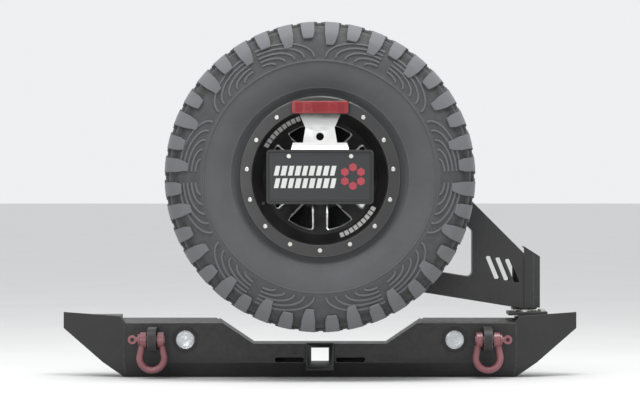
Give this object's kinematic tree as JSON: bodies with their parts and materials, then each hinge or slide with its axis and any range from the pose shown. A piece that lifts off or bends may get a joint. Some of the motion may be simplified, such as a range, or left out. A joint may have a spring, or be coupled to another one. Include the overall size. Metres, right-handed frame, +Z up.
{
  "type": "spare tire carrier",
  "caption": "Steel rear bumper with a swing-out arm on a vertical hinge that carries an off-road spare wheel, a third brake light and a licence plate.",
  "frame": {"origin": "centre of the bolt pattern on the vehicle's rear cross member, in the plane of the frame brackets' front faces", "axes": "+X to the right seen from behind the vehicle, +Y forwards towards the vehicle, +Z up"},
  "size_m": [1.49, 0.523, 1.017],
  "materials": {
    "black_powder_coat": "textured satin",
    "zinc_plated_steel": "bright zinc plated",
    "bearing_steel": "ground",
    "tyre_rubber": "matt",
    "rubber": "matt",
    "black_wheel_paint": "satin black, milled edges",
    "bare_aluminium": "mill finish",
    "red_lens": "gloss",
    "black_plastic": "fine grain",
    "clear_lens": "clear",
    "shackle_red": "gloss, worn",
    "plate_black": "semi-gloss",
    "lamp_board": "satin"
  },
  "bodies": {
    "bumper": {"centre_face": "black_powder_coat", "wing_faces": "black_powder_coat", "top_plates": "black_powder_coat", "back_wall": "black_powder_coat", "pocket_plate": "black_powder_coat", "inner_ribs": "black_powder_coat", "frame_brackets": "black_powder_coat", "receiver": "black_powder_coat", "shackle_tabs": "black_powder_coat", "hinge_base": "black_powder_coat", "hinge_base_bolts": "zinc_plated_steel", "reversing_light_grommets": "rubber", "reversing_light_housings": "black_plastic", "reversing_light_lenses": "clear_lens", "hinge_spindle": "bearing_steel", "spindle_nut_and_washers": "zinc_plated_steel", "bearing_inner_rings": "bearing_steel"},
    "swing_arm": {"hinge_barrel": "black_powder_coat", "bearing_outer_rings": "bearing_steel", "hinge_seal": "rubber", "hinge_dust_cap": "zinc_plated_steel", "hinge_shroud": "black_powder_coat", "arm_brackets": "black_powder_coat", "arm_rear_plate": "black_powder_coat", "arm_front_plate": "black_powder_coat", "arm_edge_strips": "black_powder_coat", "mount_socket": "black_powder_coat", "arm_fasteners": "zinc_plated_steel", "bump_stops": "rubber", "link_bolt": "zinc_plated_steel", "link_near_ball": "bearing_steel", "hold_open_spring": "bearing_steel"},
    "bearing_rollers": {"bearing_rollers": "bearing_steel"},
    "wheel_mount": {"mount_tube": "black_powder_coat", "hub_plate": "black_powder_coat", "wheel_studs": "zinc_plated_steel", "centre_post": "black_powder_coat"},
    "spare_wheel": {"tyre": "tyre_rubber", "wheel_barrel": "black_wheel_paint", "wheel_centre": "black_wheel_paint", "clamp_ring": "black_wheel_paint", "clamp_ring_bolts": "zinc_plated_steel", "valve_stem": "rubber"},
    "lug_nuts": {"lug_nuts": "zinc_plated_steel"},
    "light_and_plate": {"light_bracket": "bare_aluminium", "plate_holder": "bare_aluminium", "bracket_fasteners": "zinc_plated_steel", "licence_plate": "plate_black", "plate_frame": "black_plastic", "brake_light_housing": "black_plastic", "brake_light_board": "lamp_board", "brake_light_lens": "red_lens"},
    "tailgate_link": {"link_rod_ends": "zinc_plated_steel", "link_turnbuckle": "zinc_plated_steel"},
    "link_far_ball": {"link_far_ball": "bearing_steel"},
    "hold_open_pin": {"hold_open_pin": "zinc_plated_steel"},
    "left_shackle_bow": {"left_shackle_bow": "shackle_red"},
    "right_shackle_bow": {"right_shackle_bow": "shackle_red"},
    "left_shackle_pin": {"left_shackle_pin": "shackle_red"},
    "right_shackle_pin": {"right_shackle_pin": "shackle_red"}
  },
  "joints": [
    {"name": "arm_swing", "type": "hinge", "parent": "bumper", "child": "swing_arm", "pos_m": [0.596, -0.129, 0.115], "axis": [0, 0, 1], "range_deg": [0, 105]},
    {"name": "roller_turn", "type": "hinge", "parent": "bumper", "child": "bearing_rollers", "pos_m": [0.596, -0.129, 0.18], "axis": [0, 0, 1], "range_deg": [0, 60]},
    {"name": "mount_reach", "type": "slide", "parent": "swing_arm", "child": "wheel_mount", "axis": [0, -1, 0], "range_m": [0, 0.05]},
    {"name": "wheel_off", "type": "slide", "parent": "wheel_mount", "child": "spare_wheel", "axis": [0, -1, 0], "range_m": [0, 0.3]},
    {"name": "lug_nuts_off", "type": "slide", "parent": "wheel_mount", "child": "lug_nuts", "axis": [0, -1, 0], "range_m": [0, 0.36]},
    {"name": "light_and_plate_off", "type": "slide", "parent": "wheel_mount", "child": "light_and_plate", "axis": [0, -1, 0], "range_m": [0, 0.435]},
    {"name": "link_turn", "type": "hinge", "parent": "swing_arm", "child": "tailgate_link", "pos_m": [-0.092, -0.069, 0.34], "axis": [0, 0, 1], "range_deg": [-20, 8]},
    {"name": "far_ball_turn", "type": "hinge", "parent": "tailgate_link", "child": "link_far_ball", "pos_m": [-0.272, -0.069, 0.34], "axis": [0, 0, 1], "range_deg": [-25, 25]},
    {"name": "hold_open_drop", "type": "slide", "parent": "swing_arm", "child": "hold_open_pin", "axis": [0, 0, 1], "range_m": [-0.012, 0], "deforming": ["hold_open_spring"]},
    {"name": "left_shackle_swing", "type": "hinge", "parent": "bumper", "child": "left_shackle_bow", "pos_m": [-0.481, -0.3, 0.034], "axis": [1, 0, 0], "range_deg": [-120, 20]},
    {"name": "right_shackle_swing", "type": "hinge", "parent": "bumper", "child": "right_shackle_bow", "pos_m": [0.481, -0.3, 0.034], "axis": [1, 0, 0], "range_deg": [-120, 20]},
    {"name": "left_shackle_pin_turn", "type": "hinge", "parent": "left_shackle_bow", "child": "left_shackle_pin", "pos_m": [-0.481, -0.3, 0.034], "axis": [1, 0, 0], "continuous": true},
    {"name": "right_shackle_pin_turn", "type": "hinge", "parent": "right_shackle_bow", "child": "right_shackle_pin", "pos_m": [0.481, -0.3, 0.034], "axis": [1, 0, 0], "continuous": true}
  ],
  "couplings": [
    {"joint": "roller_turn", "follows": "arm_swing", "ratio": 0.571},
    {"joint": "lug_nuts_off", "follows": "wheel_off", "ratio": 1.2},
    {"joint": "light_and_plate_off", "follows": "wheel_off", "ratio": 1.45}
  ]
}
